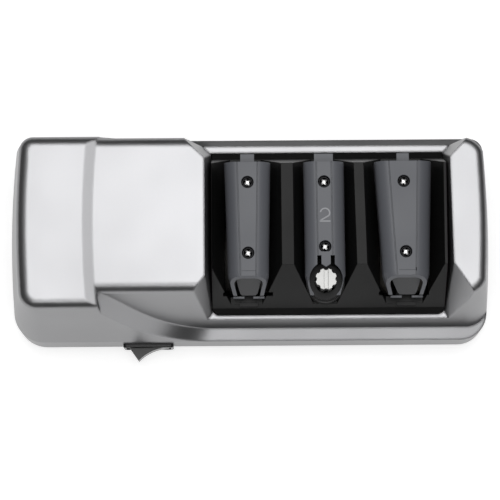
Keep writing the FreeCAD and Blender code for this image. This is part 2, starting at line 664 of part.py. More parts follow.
def stage_insert():
    left = OPEN_LEFT + FIT
    right = OPEN_RIGHT - FIT
    solid = prism_x(insert_profile(0.0), left, right)
    front = [e for e in solid.Edges
             if e.BoundBox.ZLength > 10 and e.BoundBox.XLength < 0.1
             and abs(e.BoundBox.YMin - OPEN_FRONT - FIT) < 0.01
             and abs(e.BoundBox.YMax - OPEN_FRONT - FIT) < 0.01]
    solid = solid.makeChamfer(OPEN_CORNER * 0.6, front)
    core = prism_x(insert_profile(INSERT_WALL), left + INSERT_WALL, right - INSERT_WALL)
    for stage in STAGES.values():
        solid = solid.cut(trough(stage, 0.0))
        core = core.cut(trough(stage, TROUGH_SKIN))
    solid = solid.cut(core)
    # Seat of the steel's holder
    seat = rod(SEAT_RADIUS, STEEL_X, STEEL_Y, TROUGH_FLOOR - TROUGH_SKIN, HOLDER_SEAT)
    solid = solid.fuse(seat)
    solid = solid.cut(rod(HOLDER_RADIUS + FIT, STEEL_X, STEEL_Y, TROUGH_FLOOR - 20, HOLDER_SEAT + 1))
    # Slots for the discs, either side of a strip under each guide
    reach = DISC_RADIUS + DISC_SLOT_GAP
    top = AXIS_Z + DISC_RADIUS + DISC_SLOT_GAP
    for number in DISC_STAGES:
        centre = DISC_CENTRES[number]
        for side in (-1, 1):
            xs = sorted([centre + side * DISC_SLOT_INNER, centre + side * DISC_SLOT_OUTER])
            solid = solid.cut(box(xs[0], xs[1], AXIS_Y - reach, AXIS_Y + reach,
                                  TROUGH_FLOOR - 10, top))
    # Posts for the guide screws
    for number, guide in GUIDES.items():
        for y in guide["screws"]:
            x = guide_line_x(number, y)
            post = rod(POST_RADIUS, x, y, TROUGH_FLOOR - TROUGH_SKIN, GUIDE_BOSS_FOOT)
            solid = solid.fuse(post)
            solid = solid.cut(rod(SCREW_RADIUS + SNUG, x, y,
                                  SCREW_SEAT - SCREW_LENGTH - 1, GUIDE_BOSS_FOOT + 1))
    # Shaft hole in the motor side
    return solid.cut(rod_x(SHAFT_RADIUS + 1.5, left - 1, left + INSERT_WALL + 1))


def guide_half_width(number, y):
    """Half width of a guide at depth y, which shrinks faster past the front of its straight part."""
    rear, front = GUIDES[number]["wing"]
    if y >= GUIDE_FRONT:
        return rear + (front - rear) * (y - GUIDE_REAR) / (GUIDE_FRONT - GUIDE_REAR)
    nose = front * GUIDE_NOSE_SHARE
    return front + (nose - front) * (y - GUIDE_FRONT) / (GUIDE_NOSE - GUIDE_FRONT)


def guide_form(number, skin):
    """Rounded bar of the guide's outline, drawn in by skin; past its ends if skin isn't 0."""
    past = 1.0 if skin else 0.0
    ys = (GUIDE_REAR + past, GUIDE_FRONT, GUIDE_NOSE - past)
    left = [(guide_line_x(number, y) - guide_half_width(number, y) + skin, y) for y in ys]
    right = [(guide_line_x(number, y) + guide_half_width(number, y) - skin, y) for y in ys]
    solid = prism_z(left + right[::-1], GUIDE_FOOT - past, GUIDE_TOP - skin)
    top = [e for e in solid.Edges
           if e.BoundBox.ZMin > GUIDE_TOP - skin - 0.1 and e.BoundBox.YLength > 1.0]
    return solid.makeFillet(GUIDES[number]["round"] - skin, top)


def guide(number):
    data = GUIDES[number]
    solid = guide_form(number, 0.0).cut(guide_form(number, GUIDE_SKIN))
    strip_rear = guide_half_width(number, GUIDE_REAR) - data["round"]
    strip_front = guide_half_width(number, GUIDE_FRONT) - data["round"]
    # Slope of the front end
    high, low = GUIDE_TOP + 5.0, GUIDE_FOOT - 5.0
    slope = (GUIDE_SLOPE_TOP - GUIDE_SLOPE_FOOT) / (GUIDE_TOP - GUIDE_FOOT)
    at_high = GUIDE_SLOPE_TOP + slope * (high - GUIDE_TOP)
    at_low = GUIDE_SLOPE_FOOT + slope * (low - GUIDE_FOOT)
    nose = prism_x([(at_high, high), (at_low, low), (-60, low), (-60, high)],
                   guide_line_x(number, 0) - 30, guide_line_x(number, 0) + 30)
    solid = solid.cut(nose)
    # Grooves along the borders of the top strip
    for side in (-1, 1):
        wires = []
        for y, strip in ((GUIDE_REAR + 1, strip_rear), (GUIDE_SLOPE_TOP - 3, strip_front)):
            x = guide_line_x(number, y) + side * strip
            h = GUIDE_GROOVE / 2
            wires.append(Part.makePolygon([
                vec(x - h, y, GUIDE_TOP + 1), vec(x + h, y, GUIDE_TOP + 1),
                vec(x + h, y, GUIDE_TOP - GUIDE_GROOVE), vec(x - h, y, GUIDE_TOP - GUIDE_GROOVE),
                vec(x - h, y, GUIDE_TOP + 1)]))
        solid = solid.cut(Part.makeLoft(wires, True, True))
    # Rear tongue
    x = guide_line_x(number, GUIDE_REAR)
    half = data["tongue"]
    solid = solid.fuse(box(x - half, x + half, GUIDE_REAR - GUIDE_SKIN, GUIDE_REAR + TONGUE_LENGTH,
                           TONGUE_TOP - GUIDE_SKIN, TONGUE_TOP))
    web = min(half, strip_rear - GUIDE_GROOVE)
    solid = solid.fuse(box(x - web, x + web, GUIDE_REAR - GUIDE_SKIN, GUIDE_REAR,
                           TONGUE_TOP - GUIDE_SKIN, GUIDE_TOP - GUIDE_GROOVE))
    # Screw bosses
    for y in data["screws"]:
        x = guide_line_x(number, y)
        solid = solid.fuse(rod(GUIDE_BOSS_RADIUS, x, y, GUIDE_BOSS_FOOT, GUIDE_TOP - 1))
    for y in data["screws"]:
        x = guide_line_x(number, y)
        solid = solid.cut(rod(SCREW_RECESS_RADIUS, x, y, SCREW_SEAT, GUIDE_TOP + 1))
        solid = solid.cut(rod(SCREW_RADIUS + FIT, x, y, GUIDE_BOSS_FOOT - 1, SCREW_SEAT + 1))
    if number == 2:
        solid = steel_bay(solid)
    return solid


def steel_bay(solid):
    """Round bay for the steel in guide 2, with the finger that clicks into the flutes."""
    tip = STEEL_Y + STEEL_RADIUS + FINGER_GAP
    bay = rod(GUIDE_BAY_RADIUS, STEEL_X, STEEL_Y, GUIDE_FOOT - 10, GUIDE_TOP + 10)
    finger = prism_z([
        (STEEL_X - FINGER_HALF_WIDTH, FINGER_ROOT + 2), (STEEL_X + FINGER_HALF_WIDTH, FINGER_ROOT + 2),
        (STEEL_X + FINGER_HALF_WIDTH, FINGER_SHOULDER), (STEEL_X, tip),
        (STEEL_X - FINGER_HALF_WIDTH, FINGER_SHOULDER)],
        GUIDE_TOP - GUIDE_SKIN, GUIDE_TOP)
    solid = solid.cut(bay)
    for side in (-1, 1):
        xs = sorted([STEEL_X + side * FINGER_HALF_WIDTH,
                     STEEL_X + side * (FINGER_HALF_WIDTH + FINGER_SLOT)])
        solid = solid.cut(box(xs[0], xs[1], STEEL_Y, FINGER_ROOT, GUIDE_TOP - 6, GUIDE_TOP + 1))
    return solid.fuse(finger)


def guide_screws():
    screws = []
    for number, data in GUIDES.items():
        for y in data["screws"]:
            x = guide_line_x(number, y)
            head = rod(SCREW_HEAD_RADIUS, x, y, SCREW_SEAT, SCREW_SEAT + SCREW_HEAD_HEIGHT)
            shank = rod(SCREW_RADIUS, x, y, SCREW_SEAT - SCREW_LENGTH, SCREW_SEAT)
            screws.append(head.fuse(shank).removeSplitter())
    return Part.makeCompound(screws)


def steel_rod():
    solid = rod(STEEL_RADIUS, STEEL_X, STEEL_Y, STEEL_FOOT, STEEL_TOP)
    offset = STEEL_RADIUS + STEEL_FLUTE_RADIUS - STEEL_FLUTE_DEPTH
    flutes = []
    for i in range(STEEL_FLUTES):
        angle = 2 * math.pi * i / STEEL_FLUTES
        flutes.append(rod(STEEL_FLUTE_RADIUS, STEEL_X + offset * math.cos(angle),
                          STEEL_Y + offset * math.sin(angle), STEEL_FOOT + 8, STEEL_TOP + 1))
    width, depth = STEEL_SLOT
    slot = box(STEEL_X - width / 2, STEEL_X + width / 2, STEEL_Y - 10, STEEL_Y + 10,
               STEEL_TOP - depth, STEEL_TOP + 1)
    return solid.cut(flutes[0].multiFuse(flutes[1:] + [slot]))


def steel_holder():
    solid = rod(HOLDER_RADIUS, STEEL_X, STEEL_Y, HOLDER_FOOT, HOLDER_SEAT + 1)
    flange = rod(HOLDER_FLANGE_RADIUS, STEEL_X, STEEL_Y, HOLDER_SEAT, HOLDER_SEAT + HOLDER_FLANGE)
    solid = solid.fuse(flange)
    return solid.cut(rod(STEEL_RADIUS + SNUG, STEEL_X, STEEL_Y, STEEL_FOOT - FIT, STEEL_TOP + 1))


def drive_shaft():
    solid = rod_x(SHAFT_RADIUS, SHAFT_LEFT, SHAFT_RIGHT)
    for number in DISC_STAGES:
        for side in (-1, 1):
            x0, x1 = stop_span(number, side)
            solid = solid.cut(ring_x(SHAFT_RADIUS + 1, STOP_GROOVE_RADIUS,
                                     x0 - SNUG, x1 + SNUG))
            x = DISC_CENTRES[number] + side * PIN_FROM_CENTRE
            solid = solid.cut(rod(PIN_RADIUS + SNUG, x, AXIS_Y, AXIS_Z - 10, AXIS_Z + 10))
    return solid


def stop_span(number, side):
    near = DISC_CENTRES[number] + side * (DISC_OUTER + STOP_GAP)
    return tuple(sorted([near, near + side * STOP_WIDTH]))


def stop_rings():
    rings = []
    for number in DISC_STAGES:
        for side in (-1, 1):
            x0, x1 = stop_span(number, side)
            rings.append(ring_x(STOP_RADIUS, STOP_GROOVE_RADIUS + SNUG, x0, x1))
    return Part.makeCompound(rings)


def drive_pins():
    pins = []
    for number in DISC_STAGES:
        for side in (-1, 1):
            x = DISC_CENTRES[number] + side * PIN_FROM_CENTRE
            pins.append(rod(PIN_RADIUS, x, AXIS_Y, AXIS_Z - PIN_HALF_LENGTH,
                            AXIS_Z + PIN_HALF_LENGTH))
    return Part.makeCompound(pins)


def disc(number, side):
    c = DISC_CENTRES[number]
    return turned([
        (c + side * DISC_OUTER, HUB_RADIUS + SNUG), (c + side * DISC_OUTER, DISC_OUTER_RADIUS),
        (c + side * (DISC_INNER + 0.6), DISC_RADIUS), (c + side * DISC_INNER, DISC_RADIUS),
        (c + side * DISC_INNER, HUB_RADIUS + SNUG)])


def disc_hub(number, side):
    c = DISC_CENTRES[number]
    flange_in = DISC_INNER - HUB_FLANGE
    solid = turned([
        (c + side * DISC_OUTER, SHAFT_RADIUS + SNUG), (c + side * DISC_OUTER, HUB_RADIUS),
        (c + side * DISC_INNER, HUB_RADIUS), (c + side * DISC_INNER, HUB_FLANGE_RADIUS),
        (c + side * flange_in, HUB_FLANGE_RADIUS), (c + side * flange_in, HUB_RADIUS),
        (c + side * HUB_INNER, HUB_RADIUS), (c + side * HUB_INNER, SHAFT_RADIUS + SNUG)])
    # Fork slot for the cross pin, open at the outer end
    xs = sorted([c + side * (PIN_FROM_CENTRE - PIN_RADIUS - FIT), c + side * (DISC_OUTER + 1)])
    half = PIN_RADIUS + 0.1
    return solid.cut(box(xs[0], xs[1], AXIS_Y - half, AXIS_Y + half, AXIS_Z - 15, AXIS_Z + 15))


def disc_spring(number):
    """Coil spring of square wire between the two hubs of a stage."""
    half = DISC_INNER - HUB_FLANGE - SPRING_WIRE - SPRING_PLAY
    start = DISC_CENTRES[number] - half
    rise = half / SPRING_TURNS
    slope = rise / (math.pi * SPRING_RADIUS)

    def point(half_turn):
        side = 1 if half_turn % 2 == 0 else -1
        return vec(start + rise * half_turn, AXIS_Y + side * SPRING_RADIUS, AXIS_Z)

    def heading(half_turn):
        side = 1 if half_turn % 2 == 0 else -1
        way = vec(slope, 0, side)
        way.normalize()
        return way

    edges = []
    for i in range(2 * SPRING_TURNS):
        edges += tangent_arcs(point(i), heading(i), point(i + 1), heading(i + 1))
    w = SPRING_WIRE
    outward = vec(0, w, 0)
    across = heading(0).cross(vec(0, -w, 0))
    corners = [point(0) + across * a + outward * b for a, b in ((-1, -1), (1, -1), (1, 1), (-1, 1))]
    section = Part.makePolygon(corners + [corners[0]])
    return Part.Wire(edges).makePipeShell([section], True, False)


def tangent_arcs(p0, t0, p1, t1):
    """Two arcs that meet smoothly and leave p0 along t0 and reach p1 along t1."""
    chord = p1 - p0
    both = t0 + t1
    spread = 2 * (1 - t0.dot(t1))
    along = chord.dot(both)
    reach = (math.sqrt(along * along + spread * chord.dot(chord)) - along) / spread
    corner0 = p0 + t0 * reach
    corner1 = p1 - t1 * reach
    joint = (corner0 + corner1) * 0.5

    def arc(a, corner, b):
        weight = (b - a).Length / (2 * (corner - a).Length)
        middle = (a + b + corner * (2 * weight)) * (1 / (2 + 2 * weight))
        return Part.Arc(a, middle, b).toShape()

    return [arc(p0, corner0, joint), arc(joint, corner1, p1)]


def stator_stack():
    y0, y1 = AXIS_Y - STATOR_HALF_WIDTH, AXIS_Y + STATOR_HALF_WIDTH
    solid = box(STATOR_LEFT, STATOR_RIGHT, y0, y1, STATOR_FOOT, STATOR_TOP)
    corners = [e for e in solid.Edges if e.BoundBox.XLength > 5]
    solid = solid.makeFillet(STATOR_ROUND, corners)
    solid = solid.cut(rod_x(STATOR_BORE, STATOR_LEFT - 1, STATOR_RIGHT + 1))
    solid = solid.cut(box(STATOR_LEFT - 1, STATOR_RIGHT + 1, AXIS_Y - WINDOW_HALF_WIDTH,
                          AXIS_Y + WINDOW_HALF_WIDTH, WINDOW_FOOT, WINDOW_TOP))
    for y, z in bolt_places():
        solid = solid.cut(rod_x(BOLT_RADIUS + SNUG, STATOR_LEFT - 1, STATOR_RIGHT + 1, y, z))
    return solid


def bolt_places():
    return [(AXIS_Y + sy * BOLT_SPREAD, z) for sy in (-1, 1) for z in (BOLT_LOW, BOLT_HIGH)]


def field_coil():
    """Winding round the yoke above the rotor."""
    gap = FIT
    y0, y1 = AXIS_Y - WINDOW_HALF_WIDTH + gap, AXIS_Y + WINDOW_HALF_WIDTH - gap
    outer = box(STATOR_LEFT - COIL_SIDE, STATOR_RIGHT + COIL_SIDE, y0, y1,
                WINDOW_TOP - COIL_DEPTH, STATOR_TOP + COIL_DEPTH)
    corners = [e for e in outer.Edges if e.BoundBox.YLength > 5]
    outer = outer.makeFillet(COIL_ROUND, corners)
    return outer.cut(box(STATOR_LEFT - gap, STATOR_RIGHT + gap, y0 - 1, y1 + 1,
                         WINDOW_TOP - gap, STATOR_TOP + gap))


def rotor_core():
    return ring_x(STATOR_BORE - AIR_GAP, SHAFT_RADIUS + SNUG, STATOR_LEFT, STATOR_RIGHT)


def rotor_end_rings():
    outer, inner = STATOR_BORE - 2.0, SHAFT_RADIUS + 5.0
    return Part.makeCompound([
        ring_x(outer, inner, STATOR_LEFT - END_RING, STATOR_LEFT),
        ring_x(outer, inner, STATOR_RIGHT, STATOR_RIGHT + END_RING)])


def end_bracket(side):
    face = STATOR_RIGHT if side > 0 else STATOR_LEFT
    near, far = face + side * BRACKET_GAP, face + side * (BRACKET_GAP + BRACKET)
    boss_far = face + side * (BRACKET_GAP + BRACKET_BOSS)
    x0, x1 = sorted([near, far])
    b0, b1 = sorted([near, boss_far])
    l0, l1 = sorted([face, near])
    plate = box(x0, x1, AXIS_Y - BOLT_SPREAD - LEG_RADIUS, AXIS_Y + BOLT_SPREAD + LEG_RADIUS,
                BRACKET_FOOT, BRACKET_TOP)
    corners = [e for e in plate.Edges if e.BoundBox.XLength > 1]
    solid = plate.makeFillet(LEG_RADIUS - 0.5, corners)
    solid = solid.fuse(rod_x(BRACKET_BOSS_RADIUS, b0, b1))
    for y, z in bolt_places():
        solid = solid.fuse(rod_x(LEG_RADIUS, l0, l1, y, z))
    for y, z in bolt_places():
        solid = solid.cut(rod_x(BOLT_RADIUS + SNUG, STATOR_LEFT - 30, STATOR_RIGHT + 30, y, z))
    return solid.cut(rod_x(BUSH_RADIUS + SNUG, b0 - 1, b1 + 1))


def shaft_bushes():
    bushes = []
    for side in (-1, 1):
        face = STATOR_RIGHT if side > 0 else STATOR_LEFT
        x0, x1 = sorted([face + side * BRACKET_GAP, face + side * (BRACKET_GAP + BRACKET_BOSS)])
        bushes.append(ring_x(BUSH_RADIUS, SHAFT_RADIUS + SNUG, x0, x1))
    return Part.makeCompound(bushes)


def motor_bolts():
    bolts = []
    left = STATOR_LEFT - BRACKET_GAP - BRACKET
    right = STATOR_RIGHT + BRACKET_GAP + BRACKET
    for y, z in bolt_places():
        head = rod_x(BOLT_HEAD_RADIUS, right, right + BOLT_HEAD, y, z)
        shank = rod_x(BOLT_RADIUS, left - BOLT_TAIL, right, y, z)
        bolts.append(head.fuse(shank).removeSplitter())
    return Part.makeCompound(bolts)


def cooling_fan():
    plate = FAN_LEFT + FAN_BLADE_HEIGHT
    solid = ring_x(FAN_RADIUS, SHAFT_RADIUS + SNUG, plate, plate + FAN_PLATE)
    solid = solid.fuse(ring_x(SHAFT_RADIUS + FAN_HUB, SHAFT_RADIUS + SNUG, FAN_LEFT + 1, plate))
    blade = box(FAN_LEFT, plate, AXIS_Y - FAN_BLADE / 2, AXIS_Y + FAN_BLADE / 2,
                AXIS_Z + SHAFT_RADIUS + FAN_HUB - 1, AXIS_Z + FAN_RADIUS)
    for i in range(FAN_BLADES):
        copy = blade.copy()
        copy.rotate(vec(0, AXIS_Y, AXIS_Z), vec(1, 0, 0), 360.0 * i / FAN_BLADES)
        solid = solid.fuse(copy)
    return solid


def pad_places():
    length = STATOR_RIGHT - STATOR_LEFT
    return [(STATOR_LEFT + length / 2 + sx * (length / 2 - PAD_LENGTH / 2),
             AXIS_Y + sy * PAD_SPREAD) for sx in (-1, 1) for sy in (-1, 1)]


def motor_pads():
    pads = []
    for x, y in pad_places():
        pads.append(box(x - PAD_LENGTH / 2, x + PAD_LENGTH / 2, y - PAD_WIDTH / 2,
                        y + PAD_WIDTH / 2, STATOR_FOOT - PAD_HEIGHT, STATOR_FOOT))
    return Part.makeCompound(pads)


def bearing_block():
    solid = box(BEARING_LEFT, BEARING_RIGHT, AXIS_Y - BEARING_HALF_WIDTH,
                AXIS_Y + BEARING_HALF_WIDTH, BASE_TOP, BEARING_TOP)
    top = [e for e in solid.Edges if e.BoundBox.XLength > 1 and e.BoundBox.ZMin > BEARING_TOP - 0.1]
    solid = solid.makeFillet(BEARING_HALF_WIDTH - 1.0, top)
    return solid.cut(rod_x(OUTBOARD_BUSH_RADIUS + SNUG, BEARING_LEFT - 1, BEARING_RIGHT + 1))


def outboard_bush():
    return ring_x(OUTBOARD_BUSH_RADIUS, SHAFT_RADIUS + SNUG, BEARING_LEFT, BEARING_RIGHT)


def base_plate():
    solid = base_slab(BASE_INSET, FOOT_HEIGHT, BASE_TOP)
    rim_out = WALL + FIT
    rim = base_slab(rim_out, BASE_TOP, BASE_TOP + RIM_HEIGHT)
    rim = rim.cut(base_slab(rim_out + RIM_WALL, BASE_TOP - 1, BASE_TOP + RIM_HEIGHT + 1))
    # The rim stops short of the switch, the inlet and the screw gussets
    low, high = BASE_TOP - 1, BASE_TOP + RIM_HEIGHT + 1
    switch_half = SWITCH_HALF[0] + RIM_GAP
    rim = rim.cut(box(SWITCH_X - switch_half, SWITCH_X + switch_half, -HALF_DEPTH, 0, low, high))
    inlet_half = INLET_FLANGE_RADIUS + INLET_GAP
    rim = rim.cut(box(INLET_X - inlet_half, INLET_X + inlet_half, 0, HALF_DEPTH, low, high))
    for sy in (-1, 1):
        y = sy * CASE_SCREW_Y
        rim = rim.cut(box(-HALF_LENGTH, HALF_LENGTH, y - CASE_WEB, y + CASE_WEB, low, high))
    solid = solid.fuse(rim)
    # Pads under the motor and round the case screws
    ribs = []
    for x, y in pad_places():
        ribs.append(box(x - PAD_LENGTH / 2, x + PAD_LENGTH / 2, y - PAD_WIDTH / 2,
                        y + PAD_WIDTH / 2, BASE_TOP - 0.5, STATOR_FOOT - PAD_HEIGHT))
    for x, y in case_screw_places():
        ribs.append(rod(CASE_BOSS_RADIUS, x, y, BASE_TOP - 0.5, BASE_TOP + CASE_PAD))
    solid = solid.multiFuse(ribs)
    # Rails of the clean-out cover, closed at the front
    lap = COVER_LAP + SLIDE_GAP
    x0, x1 = CLEAN_X[0] - lap, CLEAN_X[1] + lap
    y0 = CLEAN_Y[0] - lap
    rail_foot = FOOT_HEIGHT - SLIDE_GAP - COVER_THICK - SLIDE_GAP - RAIL_LIP
    rails = box(x0 - RAIL_WEB, x1 + RAIL_WEB, y0 - RAIL_WEB, RAIL_REAR, rail_foot, FOOT_HEIGHT)
    rails = rails.cut(box(x0, x1, y0, RAIL_REAR + 1, rail_foot + RAIL_LIP, FOOT_HEIGHT + 1))
    rails = rails.cut(box(CLEAN_X[0], CLEAN_X[1], y0, RAIL_REAR + 1, rail_foot - 1, FOOT_HEIGHT + 1))
    solid = solid.fuse(rails)
    holes = [box(CLEAN_X[0], CLEAN_X[1], CLEAN_Y[0], CLEAN_Y[1], FOOT_HEIGHT - 1, BASE_TOP + 1)]
    for x, y in foot_places():
        holes.append(rod(FOOT_PLUG_RADIUS + SNUG, x, y, FOOT_HEIGHT - 1, BASE_TOP + 1))
    for x, y in case_screw_places():
        holes.append(rod(CASE_HEAD_RADIUS + FIT, x, y, FOOT_HEIGHT - 1, CASE_SEAT))
        holes.append(rod(SCREW_RADIUS + SNUG, x, y, CASE_SEAT - 1, BASE_TOP + CASE_PAD + 1))
    for i in range(VENT_COUNT):
        x = VENT_X + (i - (VENT_COUNT - 1) / 2) * VENT_PITCH
        holes.append(box(x - VENT_WIDTH / 2, x + VENT_WIDTH / 2, AXIS_Y - VENT_HALF_LENGTH,
                         AXIS_Y + VENT_HALF_LENGTH, FOOT_HEIGHT - 1, BASE_TOP + 1))
    return solid.cut(holes[0].multiFuse(holes[1:]))


def case_screw_places():
    return [(sx * CASE_SCREW_X, sy * CASE_SCREW_Y) for sx in (-1, 1) for sy in (-1, 1)]


def foot_places():
    return [(sx * FOOT_X, sy * FOOT_Y) for sx in (-1, 1) for sy in (-1, 1)]


def rubber_feet():
    feet = []
    for x, y in foot_places():
        profile = [
            (0, 0), (FOOT_RADIUS - FOOT_BEVEL, 0), (FOOT_RADIUS, FOOT_BEVEL),
            (FOOT_RADIUS, FOOT_HEIGHT), (FOOT_PLUG_RADIUS, FOOT_HEIGHT),
            (FOOT_PLUG_RADIUS, FOOT_HEIGHT + FOOT_PLUG), (0, FOOT_HEIGHT + FOOT_PLUG)]
        face = polygon_face([vec(x + r, y, z) for r, z in profile])
        feet.append(face.revolve(vec(x, y, 0), vec(0, 0, 1), 360))
    return Part.makeCompound(feet)


def case_screws():
    screws = []
    for x, y in case_screw_places():
        head = rod(CASE_HEAD_RADIUS, x, y, CASE_SEAT - SCREW_HEAD_HEIGHT, CASE_SEAT)
        shank = rod(SCREW_RADIUS, x, y, CASE_SEAT, CASE_BOSS_TOP - 2)
        screws.append(head.fuse(shank).removeSplitter())
    return Part.makeCompound(screws)


def clean_out_cover():
    top = FOOT_HEIGHT - SLIDE_GAP
    x0, x1 = CLEAN_X[0] - COVER_LAP, CLEAN_X[1] + COVER_LAP
    y0, y1 = CLEAN_Y[0] - COVER_LAP, CLEAN_Y[1] + COVER_LAP
    solid = box(x0, x1, y0, y1, top - COVER_THICK, top)
    middle = (x0 + x1) / 2
    half_length, half_width = COVER_RIB_HALF
    ribs = []
    for i in range(COVER_RIBS):
        y = y1 - COVER_RIB_EDGE - COVER_RIB_PITCH * i
        ribs.append(box(middle - half_length, middle + half_length, y - half_width, y + half_width,
                        top - COVER_THICK - RAIL_LIP, top - COVER_THICK + 0.2))
    return solid.multiFuse(ribs)


def dust_magnets():
    length, width, height = MAGNET
    y = CLEAN_Y[1] + MAGNET_GAP
    xs = (CLEAN_X[0] + MAGNET_INSET, CLEAN_X[1] - MAGNET_INSET - length)
    return Part.makeCompound([box(x, x + length, y, y + width, BASE_TOP, BASE_TOP + height)
                              for x in xs])


PIVOT_Y = -HALF_DEPTH + PIVOT_IN


def switch_body():
    bx, bz = BEZEL_HALF
    hx, hz = SWITCH_HALF
    cx, cz = SWITCH_CAVITY_HALF
    face = -HALF_DEPTH
    bezel = box(SWITCH_X - bx, SWITCH_X + bx, face - BEZEL_PROUD, face, SWITCH_Z - bz, SWITCH_Z + bz)
    ends = [e for e in bezel.Edges if e.BoundBox.YLength > 1]
    bezel = bezel.makeFillet(BEZEL_ROUND, ends)
    rim = [e for e in bezel.Edges if abs(e.BoundBox.YMax - face + BEZEL_PROUD) < 0.01]
    bezel = bezel.makeFillet(BEZEL_EDGE, rim)
    back = box(SWITCH_X - hx, SWITCH_X + hx, face, face + SWITCH_DEPTH, SWITCH_Z - hz, SWITCH_Z + hz)
    solid = bezel.fuse(back)
    cavity = box(SWITCH_X - cx, SWITCH_X + cx, face - BEZEL_PROUD - 1,
                 face + SWITCH_DEPTH - SWITCH_BACK, SWITCH_Z - cz, SWITCH_Z + cz)
    solid = solid.cut(cavity)
    return solid.cut(rod(PIVOT_RADIUS + SNUG, SWITCH_X, PIVOT_Y, SWITCH_Z - hz + 0.2,
                         SWITCH_Z + hz - 0.2))


def rocker():
    """Two-way rocker, drawn level and then tilted to the position in use."""
    tip_x, tip_y = ROCKER_TIP
    heel_x, heel_y = ROCKER_HEEL
    keel_x, keel_y = ROCKER_KEEL

    def at(x, y):
        return vec(SWITCH_X + x, PIVOT_Y + y, SWITCH_Z - ROCKER_HALF_HEIGHT)

    face = Part.Face(Part.Wire([
        Part.Arc(at(-tip_x, tip_y), at(0, ROCKER_DIP), at(tip_x, tip_y)).toShape(),
        Part.makeLine(at(tip_x, tip_y), at(heel_x, heel_y)),
        Part.makeLine(at(heel_x, heel_y), at(keel_x, keel_y)),
        Part.makeLine(at(keel_x, keel_y), at(-keel_x, keel_y)),
        Part.makeLine(at(-keel_x, keel_y), at(-heel_x, heel_y)),
        Part.makeLine(at(-heel_x, heel_y), at(-tip_x, tip_y))]))
    solid = face.extrude(vec(0, 0, 2 * ROCKER_HALF_HEIGHT))
    solid = solid.cut(rod(PIVOT_RADIUS + SNUG, SWITCH_X, PIVOT_Y, SWITCH_Z - 10, SWITCH_Z + 10))
    solid.rotate(vec(SWITCH_X, PIVOT_Y, 0), vec(0, 0, 1), ROCKER_TILT)
    return solid


def rocker_pin():
    reach = SWITCH_HALF[1] - 0.3
    return rod(PIVOT_RADIUS, SWITCH_X, PIVOT_Y, SWITCH_Z - reach, SWITCH_Z + reach)


def switch_terminals():
    width, thick, length = TERMINAL
    y = -HALF_DEPTH + SWITCH_DEPTH
    return Part.makeCompound([
        box(x - width / 2, x + width / 2, y, y + length, SWITCH_Z - thick / 2,
            SWITCH_Z + thick / 2)
        for x in (SWITCH_X - TERMINAL_SPREAD, SWITCH_X + TERMINAL_SPREAD)])


def cord_grommet():
    outside = HALF_DEPTH + INLET_FLANGE
    inside = HALF_DEPTH - WALL
    solid = rod_y(INLET_FLANGE_RADIUS, INLET_X, INLET_Z, HALF_DEPTH, outside)
    solid = solid.fuse(rod_y(INLET_NECK, INLET_X, INLET_Z, inside - 3.0, outside))
    return solid.cut(rod_y(INLET_BORE, INLET_X, INLET_Z, inside - 5.0, outside + 1))


def assembly():
    parts = {
        "upper_housing": upper_housing(),
        "base_plate": base_plate(),
        "stage_insert": stage_insert(),
        "guide_screws": guide_screws(),
        "steel_rod": steel_rod(),
        "steel_holder": steel_holder(),
        "drive_shaft": drive_shaft(),
        "stop_rings": stop_rings(),
        "drive_pins": drive_pins(),
        "stator_stack": stator_stack(),
        "field_coil": field_coil(),
        "rotor_core": rotor_core(),
        "rotor_end_rings": rotor_end_rings(),
        "left_bracket": end_bracket(-1),
        "right_bracket": end_bracket(1),
        "shaft_bushes": shaft_bushes(),
        "motor_bolts": motor_bolts(),
        "cooling_fan": cooling_fan(),
        "motor_pads": motor_pads(),
        "bearing_block": bearing_block(),
        "outboard_bush": outboard_bush(),
        "rubber_feet": rubber_feet(),
        "case_screws": case_screws(),
        "clean_out_cover": clean_out_cover(),
        "dust_magnets": dust_magnets(),
        "switch_body": switch_body(),
        "rocker": rocker(),
        "rocker_pin": rocker_pin(),
        "switch_terminals": switch_terminals(),
        "cord_grommet": cord_grommet(),
    }
    for number in GUIDES:
        parts[f"guide_{number}"] = guide(number)
    names = {1: "coarse", 3: "strop"}
    sides = {-1: "left", 1: "right"}
    for number, name in names.items():
        for side, word in sides.items():
            parts[f"{name}_disc_{word}"] = disc(number, side)
            parts[f"{name}_hub_{word}"] = disc_hub(number, side)
        parts[f"{name}_spring"] = disc_spring(number)
    return parts


def write(parts):
    """Shift everything so that the origin is the centre of what stands on the table."""
    front = parts["rocker"].BoundBox.YMin
    rear = parts["cord_grommet"].BoundBox.YMax
    shift = -(front + rear) / 2
    os.makedirs("parts", exist_ok=True)
    for name, shape in parts.items():
        placed = shape.copy()
        placed.translate(vec(0, shift, 0))
        placed.exportStep(f"parts/{name}.step")
    print(f"frame shift in Y {shift:.4f} mm, {len(parts)} parts")


write(assembly())
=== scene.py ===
import json
import math

import bmesh
import bpy
from mathutils import Matrix, Vector


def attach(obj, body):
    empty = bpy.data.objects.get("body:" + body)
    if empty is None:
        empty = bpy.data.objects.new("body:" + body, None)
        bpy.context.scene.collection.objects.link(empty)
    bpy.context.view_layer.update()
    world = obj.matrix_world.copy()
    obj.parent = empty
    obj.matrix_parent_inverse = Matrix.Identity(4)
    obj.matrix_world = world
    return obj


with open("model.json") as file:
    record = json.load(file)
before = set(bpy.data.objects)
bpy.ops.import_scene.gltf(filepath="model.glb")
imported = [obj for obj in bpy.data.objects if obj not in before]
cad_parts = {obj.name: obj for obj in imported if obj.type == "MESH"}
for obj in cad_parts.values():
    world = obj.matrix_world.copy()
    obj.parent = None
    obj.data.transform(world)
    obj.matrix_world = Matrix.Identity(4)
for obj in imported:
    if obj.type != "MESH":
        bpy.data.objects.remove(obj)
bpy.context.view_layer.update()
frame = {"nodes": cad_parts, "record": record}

MM = 0.001
SHIFT_Y = 3.2                # from the housing's centre plane to the frame's origin
